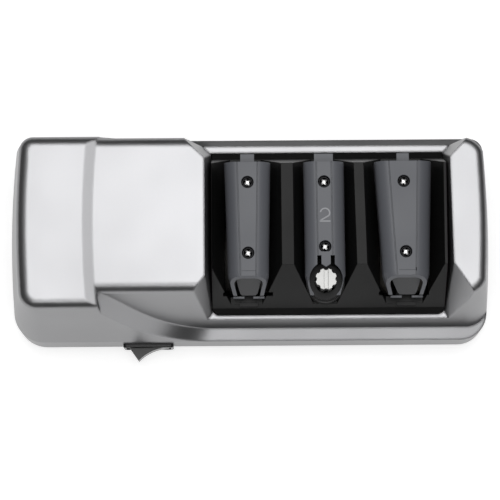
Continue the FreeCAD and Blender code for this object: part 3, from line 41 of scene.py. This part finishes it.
WHITE = (1.0, 1.0, 1.0, 1.0)


def at(x, y, z):
    """A place in millimetres from the housing's centre plane, in the frame's metres."""
    return Vector((x * MM, (y + SHIFT_Y) * MM, z * MM))


def aim(place, target):
    """Rotation that turns a camera or lamp at place towards target."""
    return (target - place).to_track_quat("-Z", "Y").to_matrix().to_4x4()


# Camera at the photograph's viewing angle, in millimetres and degrees
CAMERA_SENSOR = 36.0
CAMERA_ELEVATION = 82.0
CAMERA_DISTANCE = 1500.0
CAMERA_TARGET = (0.0, 0.0, 50.0)
CAMERA_LENS = 205.0
CAMERA_SHIFT_Y = -0.0292
CAMERA_ROLL = -0.4


def make_camera():
    data = bpy.data.cameras.new("camera")
    data.sensor_width = CAMERA_SENSOR
    data.lens = CAMERA_LENS
    data.shift_y = CAMERA_SHIFT_Y
    camera = bpy.data.objects.new("camera", data)
    bpy.context.scene.collection.objects.link(camera)
    lift = math.radians(CAMERA_ELEVATION)
    x, y, z = CAMERA_TARGET
    place = at(x, y - CAMERA_DISTANCE * math.cos(lift), z + CAMERA_DISTANCE * math.sin(lift))
    roll = Matrix.Rotation(math.radians(CAMERA_ROLL), 4, "Z")
    camera.matrix_world = Matrix.Translation(place) @ aim(place, at(x, y, z)) @ roll
    bpy.context.scene.camera = camera


# Materials
NOISE_MIDDLE = (0.3, 0.7)    # the range that most of a noise's values lie in
FINE_NOISE = (4.0, 0.6)      # detail and roughness
BROAD_NOISE = (2.0, 0.5)
BROAD_GRAIN = 25.0           # cells per metre
BEVEL_SAMPLES = 4


class Graph:
    """Short names for the nodes of one material."""

    def __init__(self, name):
        self.material = bpy.data.materials.new(name)
        self.material.use_nodes = True
        self.nodes = self.material.node_tree.nodes
        self.links = self.material.node_tree.links
        self.shader = self.nodes["Principled BSDF"]
        self.place = self.add("ShaderNodeTexCoord").outputs["Object"]

    def add(self, kind, **inputs):
        node = self.nodes.new(kind)
        for name, value in inputs.items():
            node.inputs[name].default_value = value
        return node

    def join(self, source, target):
        self.links.new(source, target)

    def noise(self, scale, detail=3.0, roughness=0.5, stretch=(1, 1, 1)):
        """Noise of so many cells per metre."""
        mapping = self.add("ShaderNodeMapping", Scale=stretch)
        self.join(self.place, mapping.inputs["Vector"])
        texture = self.add("ShaderNodeTexNoise", Scale=scale, Detail=detail, Roughness=roughness)
        self.join(mapping.outputs["Vector"], texture.inputs["Vector"])
        return texture.outputs["Fac"]

    def span(self, value, low, high, source=NOISE_MIDDLE):
        """The value's source range mapped to low and high."""
        node = self.add("ShaderNodeMapRange")
        for slot, number in (("From Min", source[0]), ("From Max", source[1]),
                             ("To Min", low), ("To Max", high)):
            node.inputs[slot].default_value = number
        self.join(value, node.inputs["Value"])
        return node.outputs["Result"]

    def mix(self, factor, first, second):
        """A colour between two colours."""
        node = self.nodes.new("ShaderNodeMix")
        node.data_type = "RGBA"
        for socket, colour in (("A_Color", first), ("B_Color", second)):
            target = next(i for i in node.inputs if i.identifier == socket)
            target.default_value = (*colour, 1.0)
        self.join(factor, next(i for i in node.inputs if i.identifier == "Factor_Float"))
        return next(o for o in node.outputs if o.identifier == "Result_Color")

    def largest(self, first, second):
        node = self.add("ShaderNodeMath")
        node.operation = "MAXIMUM"
        self.join(first, node.inputs[0])
        self.join(second, node.inputs[1])
        return node.outputs[0]

    def bump(self, height, depth, strength, normal):
        """Bump of the given depth in metres."""
        node = self.add("ShaderNodeBump", Strength=strength, Distance=depth)
        self.join(height, node.inputs["Height"])
        if normal is not None:
            self.join(normal, node.inputs["Normal"])
        return node.outputs["Normal"]

    def soft_edge(self, radius):
        """Normal that rounds sharp edges by radius, in metres."""
        node = self.add("ShaderNodeBevel", Radius=radius)
        node.samples = BEVEL_SAMPLES
        return node.outputs["Normal"]


def finish_material(name, colour, metallic, roughness, grain, tint, spread, depth, edge, strength,
                    stretch=(1, 1, 1), **sockets):
    """A material whose colour, roughness and bump vary at two scales.

    grain is in cells per metre, depth and edge are in metres. tint and spread say how far the
    colour and the roughness stray, and sockets are values for the shader's own sockets.
    """
    g = Graph(name)
    fine = g.noise(grain, *FINE_NOISE, stretch)
    broad = g.noise(BROAD_GRAIN, *BROAD_NOISE)
    darker = tuple(c * (1 - tint) for c in colour)
    lighter = tuple(min(1.0, c * (1 + tint)) for c in colour)
    g.join(g.mix(g.span(fine, 0.0, 1.0), darker, lighter), g.shader.inputs["Base Color"])
    g.join(g.span(broad, roughness - spread, roughness + spread), g.shader.inputs["Roughness"])
    g.shader.inputs["Metallic"].default_value = metallic
    for socket, value in sockets.items():
        g.shader.inputs[socket.replace("_", " ")].default_value = value
    normal = g.soft_edge(edge) if edge else None
    g.join(g.bump(fine, depth, strength, normal), g.shader.inputs["Normal"])
    return g.material


# Materials of the record's slots, and three more for the scene's own pieces
FINISHES = {
    "silver_shell": dict(
        name="silver_paint", colour=(0.28, 0.28, 0.287), metallic=0.92, roughness=0.32, grain=5200.0,
        tint=0.05, spread=0.02, depth=0.00001, edge=0.0018, strength=0.12,
        Specular_Tint=(0.7, 0.7, 0.7, 1.0)),
    "black_insert": dict(
        name="black_insert", colour=(0.006, 0.006, 0.006), metallic=0.0, roughness=0.42, grain=3000.0,
        tint=0.2, spread=0.05, depth=0.00004, edge=0.0004, strength=0.3, Specular_IOR_Level=0.18),
    "guide_grey": dict(
        name="guide_grey", colour=(0.1, 0.104, 0.116), metallic=0.0, roughness=0.38, grain=3000.0,
        tint=0.1, spread=0.05, depth=0.00003, edge=0.0003, strength=0.3, Specular_IOR_Level=0.35),
    # guide_grey darkened about threefold for the guides' front plates: painted shade of their
    # forward-facing slope
    "guide_grey_painted_shade": dict(
        name="guide_grey_painted_shade", colour=(0.03, 0.031, 0.034), metallic=0.0, roughness=0.4, grain=3000.0,
        tint=0.1, spread=0.05, depth=0.00003, edge=0.0003, strength=0.3, Specular_IOR_Level=0.3),
    "guide_number": dict(
        name="guide_number", colour=(0.28, 0.285, 0.3), metallic=0.0, roughness=0.5, grain=3000.0,
        tint=0.1, spread=0.05, depth=0.00002, edge=0.0, strength=0.2),
    "black_base": dict(
        name="black_base", colour=(0.008, 0.008, 0.008), metallic=0.0, roughness=0.5, grain=2500.0,
        tint=0.2, spread=0.06, depth=0.00005, edge=0.0003, strength=0.35, Specular_IOR_Level=0.3),
    "switch_black": dict(
        name="switch_black", colour=(0.005, 0.005, 0.005), metallic=0.0, roughness=0.25, grain=1800.0,
        tint=0.2, spread=0.05, depth=0.00002, edge=0.0004, strength=0.15, Specular_IOR_Level=0.3),
    "bright_steel": dict(
        name="bright_steel", colour=(0.24, 0.24, 0.236), metallic=1.0, roughness=0.3, grain=2600.0,
        tint=0.1, spread=0.08, depth=0.00001, edge=0.0002, strength=0.3, stretch=(1, 1, 0.05)),
    # near-black, on heads as wide as their recesses: painted shade of the dark recesses
    "plated_screw": dict(
        name="plated_screw", colour=(0.008, 0.008, 0.009), metallic=0.8, roughness=0.22, grain=2600.0,
        tint=0.15, spread=0.06, depth=0.00001, edge=0.0001, strength=0.3),
    # the cross recess's floor: bright metal set into a near-black head, a painted glint
    "screw_recess_painted_glint": dict(
        name="screw_recess_painted_glint", colour=(0.8, 0.8, 0.79), metallic=1.0, roughness=0.3, grain=2600.0,
        tint=0.08, spread=0.06, depth=0.00001, edge=0.0, strength=0.2),
    "abrasive_disc": dict(
        name="abrasive_disc", colour=(0.15, 0.147, 0.14), metallic=0.8, roughness=0.55, grain=4200.0,
        tint=0.35, spread=0.08, depth=0.0001, edge=0.0, strength=0.8),
    "strop_disc": dict(
        name="strop_disc", colour=(0.075, 0.068, 0.06), metallic=0.0, roughness=0.7, grain=4200.0,
        tint=0.3, spread=0.08, depth=0.0001, edge=0.0, strength=0.6),
    "hub_plastic": dict(
        name="hub_plastic", colour=(0.72, 0.7, 0.64), metallic=0.0, roughness=0.45, grain=2000.0,
        tint=0.05, spread=0.05, depth=0.00002, edge=0.0002, strength=0.2),
    "lamination": dict(
        name="lamination", colour=(0.16, 0.16, 0.17), metallic=0.9, roughness=0.45, grain=1800.0,
        tint=0.25, spread=0.08, depth=0.0001, edge=0.0002, strength=0.6, stretch=(1, 0.02, 0.02)),
    "copper_wire": dict(
        name="copper_wire", colour=(0.52, 0.2, 0.07), metallic=0.9, roughness=0.3, grain=1600.0,
        tint=0.25, spread=0.08, depth=0.0002, edge=0.0, strength=0.8, stretch=(1, 0.03, 0.03)),
    "zinc_casting": dict(
        name="zinc_casting", colour=(0.5, 0.5, 0.51), metallic=0.9, roughness=0.5, grain=1500.0,
        tint=0.1, spread=0.08, depth=0.0001, edge=0.0003, strength=0.4),
    "sintered_bronze": dict(
        name="sintered_bronze", colour=(0.55, 0.38, 0.16), metallic=0.9, roughness=0.5, grain=4000.0,
        tint=0.2, spread=0.08, depth=0.00005, edge=0.0002, strength=0.5),
    "foot_rubber": dict(
        name="foot_rubber", colour=(0.014, 0.014, 0.014), metallic=0.0, roughness=0.75, grain=1800.0,
        tint=0.2, spread=0.06, depth=0.0001, edge=0.0004, strength=0.4),
    "magnet": dict(
        name="magnet", colour=(0.05, 0.05, 0.055), metallic=0.3, roughness=0.6, grain=2500.0,
        tint=0.2, spread=0.06, depth=0.00005, edge=0.0002, strength=0.4),
    "tab_brass": dict(
        name="tab_brass", colour=(0.7, 0.52, 0.24), metallic=1.0, roughness=0.3, grain=2000.0,
        tint=0.1, spread=0.06, depth=0.00001, edge=0.0001, strength=0.2),
}


def dress_nodes(materials):
    """Give each CAD node the material of its slot in the record."""
    slots = {row["node"]: row["material_slot"] for row in frame["record"]["subparts"]}
    for name, node in frame["nodes"].items():
        node.data.materials.clear()
        node.data.materials.append(materials[slots[name]])


# Lights: place and size in millimetres, power in watts
LIGHT_TARGET = (0.0, 0.0, 50.0)
LIGHTS = {
    "top_box": {"place": (0, 220, 1700), "size": (950, 1200), "power": 12.6},
    "front_strip": {"place": (0, -860, 1600), "size": (1300, 330), "power": 4.0},
}
WORLD_LIGHT = 0.4            # the world's strength where the camera doesn't see it


def make_lights():
    for name, row in LIGHTS.items():
        data = bpy.data.lights.new(name, "AREA")
        data.shape = "RECTANGLE"
        data.size, data.size_y = (side * MM for side in row["size"])
        data.energy = row["power"]
        light = bpy.data.objects.new(name, data)
        bpy.context.scene.collection.objects.link(light)
        place = at(*row["place"])
        light.matrix_world = Matrix.Translation(place) @ aim(place, at(*LIGHT_TARGET))


def make_world():
    """A world that is white to the camera and dimmer as a light."""
    world = bpy.data.worlds.new("world")
    bpy.context.scene.world = world
    world.use_nodes = True
    nodes = world.node_tree.nodes
    links = world.node_tree.links
    background = nodes["Background"]
    paths = nodes.new("ShaderNodeLightPath")
    direct = nodes.new("ShaderNodeMath")
    direct.operation = "MAXIMUM"
    links.new(paths.outputs["Is Camera Ray"], direct.inputs[0])
    links.new(paths.outputs["Is Transmission Ray"], direct.inputs[1])
    shown = nodes.new("ShaderNodeMapRange")
    shown.inputs["To Min"].default_value = WORLD_LIGHT
    shown.inputs["To Max"].default_value = 1.0
    links.new(direct.outputs[0], shown.inputs["Value"])
    links.new(shown.outputs["Result"], background.inputs["Strength"])
    background.inputs["Color"].default_value = WHITE


# Floor, and the dark cards that only the paint's reflections show
FLOOR_REACH = 4000.0
FLOOR_GREYS = (0.7, 0.74)
FLOOR_GRAIN = 40.0           # cells per metre
FLOOR_ROUGHNESS = 0.9
FLOOR_GLOW = 0.58            # brings the floor that is seen up to white
CARD_GREYS = (0.08, 0.1)
CARD_GRAIN = 20.0
CARD_NEAR = 450.0            # lower edge of the cards, from the object's centre
CARD_FAR = 700.0             # upper edge
CARD_LOW = 15.0
CARD_HIGH = 850.0
CARD_SIDES = {"card_left": (-1, 0), "card_right": (1, 0), "card_front": (0, -1), "card_rear": (0, 1)}


def plane(name, corners, material):
    mesh = bpy.data.meshes.new(name)
    mesh.from_pydata([at(*c) for c in corners], [], [tuple(range(len(corners)))])
    mesh.materials.append(material)
    piece = bpy.data.objects.new(name, mesh)
    bpy.context.scene.collection.objects.link(piece)
    return piece


def stage_graph(name, greys, grain, roughness):
    """A matt grey with faint specks."""
    g = Graph(name)
    g.shader.inputs["Roughness"].default_value = roughness
    g.shader.inputs["Specular IOR Level"].default_value = 0.0
    speck = g.span(g.noise(grain), 0.0, 1.0)
    g.join(g.mix(speck, (greys[0],) * 3, (greys[1],) * 3), g.shader.inputs["Base Color"])
    return g


def floor_material():
    g = stage_graph("floor", FLOOR_GREYS, FLOOR_GRAIN, FLOOR_ROUGHNESS)
    paths = g.add("ShaderNodeLightPath").outputs
    seen = g.largest(g.largest(paths["Is Camera Ray"], paths["Is Glossy Ray"]),
                     paths["Is Transmission Ray"])
    g.shader.inputs["Emission Color"].default_value = WHITE
    g.join(g.span(seen, 0.0, FLOOR_GLOW, (0.0, 1.0)), g.shader.inputs["Emission Strength"])
    return g.material


def make_stage():
    wide = FLOOR_REACH
    plane("floor", [(-wide, -wide, 0), (wide, -wide, 0), (wide, wide, 0), (-wide, wide, 0)],
          floor_material())
    dark = stage_graph("card", CARD_GREYS, CARD_GRAIN, 1.0).material
    low, high = (CARD_NEAR, CARD_LOW), (CARD_FAR, CARD_HIGH)
    for name, (sx, sy) in CARD_SIDES.items():
        corners = []
        for (reach, height), end in ((low, 1), (low, -1), (high, -1), (high, 1)):
            half = end * reach
            corners.append((sx * reach + sy * half, sy * reach + sx * half, height))
        card = plane(name, corners, dark)
        card.visible_camera = False
        card.visible_shadow = False
        card.visible_diffuse = False


# Pieces of the object
def link(name, mesh, material):
    mesh.materials.append(material)
    piece = bpy.data.objects.new(name, mesh)
    bpy.context.scene.collection.objects.link(piece)
    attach(piece, "root")


def thicken(name, bm, faces, offset):
    """A mesh of the flat faces, thickened by a vector in millimetres."""
    made = bmesh.ops.extrude_face_region(bm, geom=faces)
    moved = [v for v in made["geom"] if isinstance(v, bmesh.types.BMVert)]
    bmesh.ops.translate(bm, vec=Vector(offset) * MM, verts=moved)
    bmesh.ops.recalc_face_normals(bm, faces=bm.faces)
    mesh = bpy.data.meshes.new(name)
    bm.to_mesh(mesh)
    bm.free()
    return mesh


def stroke_mesh(name, line, width, z, thick):
    """A flat ribbon of even width along a line of (x, y) points."""
    bm = bmesh.new()
    rows = []
    for i, point in enumerate(line):
        before = Vector(line[max(i - 1, 0)])
        after = Vector(line[min(i + 1, len(line) - 1)])
        way = (after - before).normalized()
        side = Vector((-way.y, way.x)) * width / 2
        rows.append([bm.verts.new(at(point[0] + s * side.x, point[1] + s * side.y, z))
                     for s in (-1, 1)])
    faces = [bm.faces.new((a[0], b[0], b[1], a[1])) for a, b in zip(rows, rows[1:])]
    return thicken(name, bm, faces, (0, 0, thick))


def slab_mesh(name, outline, offset):
    """A flat plate: an outline of points in millimetres, thickened by a vector."""
    bm = bmesh.new()
    face = bm.faces.new([bm.verts.new(at(*p)) for p in outline])
    return thicken(name, bm, [face], offset)


def box_mesh(name, x0, x1, y0, y1, z0, z1):
    return slab_mesh(name, [(x0, y0, z0), (x1, y0, z0), (x1, y1, z0), (x0, y1, z0)],
                     (0, 0, z1 - z0))


# Fronts of the outer guides: middle and half width at the neck, the shoulders and the foot
FRONTS = {
    "guide_1": {"centre": (-0.9, -0.8, -0.8), "half": (3.5, 6.4, 3.9)},
    "guide_3": {"centre": (81.0, 80.5, 81.4), "half": (4.6, 7.4, 4.2)},
}
FRONT_NECK = (-23.4, 86.05)  # depth and height of the plate's ends
FRONT_FOOT = (-33.6, 64.5)
FRONT_BACK = (0.0, 1.3, -0.4)
NECK_END = 0.27              # shares of the way from the neck down to the foot
SHOULDER_START = 0.32
SHOULDER_END = 0.4
FOOT_START = 0.92
SHOULDER_CUT = 1.0           # corners of the shoulders and of the foot
FOOT_CUT = 0.4
FOOT_FLARE = 0.6
STOP_INSIDE = 1.6            # the two stops under each plate, from the foot's edge
STOP_OUTSIDE = 4.2
STOP_Y = (-35.0, -33.9)
STOP_Z = (61.5, 62.8)
CATCH_MARGIN = 1.0           # the block at the trough's foot, past the foot's edge
CATCH_Y = (-38.6, -36.4)
CATCH_Z = (53.6, 56.6)


def front_point(x, share):
    """A point of a front plate, at a share of the way from the neck to the foot."""
    y = FRONT_NECK[0] + (FRONT_FOOT[0] - FRONT_NECK[0]) * share
    z = FRONT_NECK[1] + (FRONT_FOOT[1] - FRONT_NECK[1]) * share
    return (x, y, z)


def make_guide_fronts(materials):
    """Tapered plates that close the guides' fronts, with the stops and the catch below them."""
    for guide, data in FRONTS.items():
        neck_x, shoulder_x, foot_x = data["centre"]
        neck, shoulder, foot = data["half"]
        rows = [(neck_x, neck, 0.0), (neck_x, neck, NECK_END),
                (shoulder_x, shoulder - SHOULDER_CUT, SHOULDER_START),
                (shoulder_x, shoulder, SHOULDER_END),
                (foot_x, foot + FOOT_FLARE, FOOT_START), (foot_x, foot - FOOT_CUT, 1.0)]
        right = [front_point(x + half, share) for x, half, share in rows]
        left = [front_point(x - half, share) for x, half, share in reversed(rows)]
        name = f"{guide}_front"
        # the front plates take the darkened copy of guide_grey: painted shade
        link(name, slab_mesh(name, right + left, FRONT_BACK), materials["guide_grey_painted_shade"])
        for word, side in (("left", -1), ("right", 1)):
            xs = sorted([foot_x + side * (foot - STOP_INSIDE), foot_x + side * (foot + STOP_OUTSIDE)])
            name = f"{guide}_stop_{word}"
            link(name, box_mesh(name, *xs, *STOP_Y, *STOP_Z), materials["guide_grey"])
        name = f"{guide}_catch"
        half = foot + CATCH_MARGIN
        link(name, box_mesh(name, foot_x - half, foot_x + half, *CATCH_Y, *CATCH_Z),
             materials["black_insert"])


# Heads of the guides' screws, widened to fill their recesses and near-black as painted shade of the
# recesses
# nearly the recess's radius, so that the black head covers the recess as painted shade
SCREW_RADIUS = 3.05
SCREW_EDGE_Z = 83.4
SCREW_DOME = 1.5
SCREW_RINGS = 12
SCREW_STEPS = 40             # around the head
SCREW_MIDDLE = 0.02          # radius of the innermost ring, as a share of a ring's width
CROSS_HALF_WIDTH = 0.62
CROSS_REACH = 1.9
CROSS_DEPTH = 0.45
CROSS_TURN = 38.0
SCREW_PLACES = [(-1.17, 22.8), (38.37, 22.8), (79.47, 22.8),
                (-1.03, -14.0), (38.62, -11.0), (80.15, -13.8)]


def in_cross(u, v):
    """Whether a place on a head, from its centre, is in the cross recess."""
    turn = math.radians(CROSS_TURN)
    across = abs(u * math.cos(turn) + v * math.sin(turn))
    along = abs(v * math.cos(turn) - u * math.sin(turn))
    return ((across < CROSS_HALF_WIDTH and along < CROSS_REACH)
            or (along < CROSS_HALF_WIDTH and across < CROSS_REACH))


def make_screw_heads(materials):
    """Domed heads with a cross recess on the guides' screws, whose floor is bright metal as a painted
    glint.
    """
    for i, (x, y) in enumerate(SCREW_PLACES):
        name = f"screw_head_{i + 1}"
        verts = []
        sunk = []
        for r in range(SCREW_RINGS + 1):
            radius = SCREW_RADIUS * (r + SCREW_MIDDLE) / (SCREW_RINGS + SCREW_MIDDLE)
            z = SCREW_EDGE_Z + SCREW_DOME * (1 - (radius / SCREW_RADIUS) ** 2)
            for t in range(SCREW_STEPS):
                angle = 2 * math.pi * t / SCREW_STEPS
                u, v = radius * math.cos(angle), radius * math.sin(angle)
                low = in_cross(u, v)
                verts.append(at(x + u, y + v, z - (CROSS_DEPTH if low else 0.0)))
                sunk.append(low)
        faces = []
        for r in range(SCREW_RINGS):
            for t in range(SCREW_STEPS):
                a, b = r * SCREW_STEPS + t, r * SCREW_STEPS + (t + 1) % SCREW_STEPS
                faces.append((a, b, b + SCREW_STEPS, a + SCREW_STEPS))
        faces.append(tuple(range(SCREW_STEPS))[::-1])
        mesh = bpy.data.meshes.new(name)
        mesh.from_pydata(verts, [], faces)
        link(name, mesh, materials["plated_screw"])
        mesh.materials.append(materials["screw_recess_painted_glint"])
        # faces at the recess's floor take the bright metal: painted glint
        for face in mesh.polygons:
            if all(sunk[v] for v in face.vertices):
                face.material_index = 1


# The number on the middle guide
GUIDE_TOP = 86.0
DIGIT_CENTRE = (38.7, 5.45)
DIGIT_HEIGHT = 6.65
DIGIT_STROKE = 0.7
DIGIT_RADIUS = DIGIT_HEIGHT * 0.36
DIGIT_THICK = 0.05
HOOK_START = 170.0           # degrees, from which the hook turns clockwise
HOOK_TURN = 205.0
HOOK_STEPS = 16


def make_digit(materials):
    """The 2 on the middle guide: a hook that runs on into a slanted stroke, and a foot."""
    cx, cy = DIGIT_CENTRE
    top = cy + DIGIT_HEIGHT / 2 - DIGIT_RADIUS
    foot = cy - DIGIT_HEIGHT / 2
    line = []
    for i in range(HOOK_STEPS + 1):
        angle = math.radians(HOOK_START - HOOK_TURN * i / HOOK_STEPS)
        line.append((cx + DIGIT_RADIUS * math.cos(angle), top + DIGIT_RADIUS * math.sin(angle)))
    line.append((cx - DIGIT_RADIUS, foot + DIGIT_STROKE / 2))
    half = DIGIT_RADIUS + DIGIT_STROKE / 2
    base = [(cx - half, foot), (cx + half, foot)]
    for name, points in (("digit_2_hook", line), ("digit_2_foot", base)):
        link(name, stroke_mesh(name, points, DIGIT_STROKE, GUIDE_TOP, DIGIT_THICK),
             materials["guide_number"])


materials = {slot: finish_material(**finish) for slot, finish in FINISHES.items()}
dress_nodes(materials)
make_guide_fronts(materials)
make_screw_heads(materials)
make_digit(materials)
make_world()
make_stage()
make_lights()
make_camera()
bpy.context.scene.view_settings.view_transform = "Standard"
